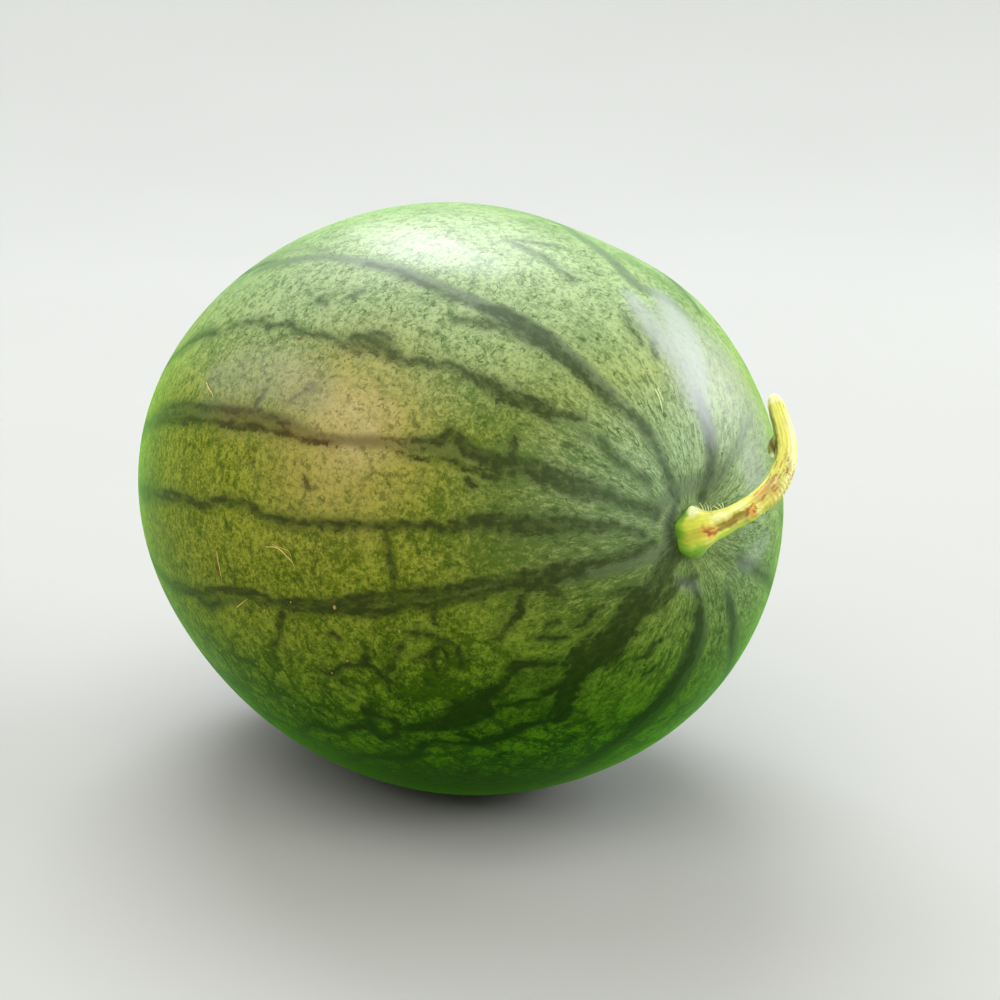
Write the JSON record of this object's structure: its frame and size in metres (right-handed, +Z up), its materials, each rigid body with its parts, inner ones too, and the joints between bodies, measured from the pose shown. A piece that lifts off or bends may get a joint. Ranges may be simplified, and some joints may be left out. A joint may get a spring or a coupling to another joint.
{
  "type": "watermelon",
  "caption": "Whole oblong watermelon lying on its side: striped green rind, dished puckered ends and a dried hooked stem.",
  "frame": {"origin": "on the flat resting spot under the fruit, straight below the middle of the fruit", "axes": "+X towards the stem end along the fruit's length, whose axis rises about 6.5 degrees that way; +Z up; -Y the side with the stem's foot in front of its hook"},
  "size_m": [0.2903, 0.2103, 0.2089],
  "materials": {
    "rind": "semi-gloss waxy rind, mid green mottled with darker green and striped lengthways in blackish green",
    "dried_stem": "matte, half-dried and fibrous, yellow-green with tan corky scars"
  },
  "bodies": {
    "root": {"fruit": "rind", "stem": "dried_stem"}
  },
  "joints": []
}
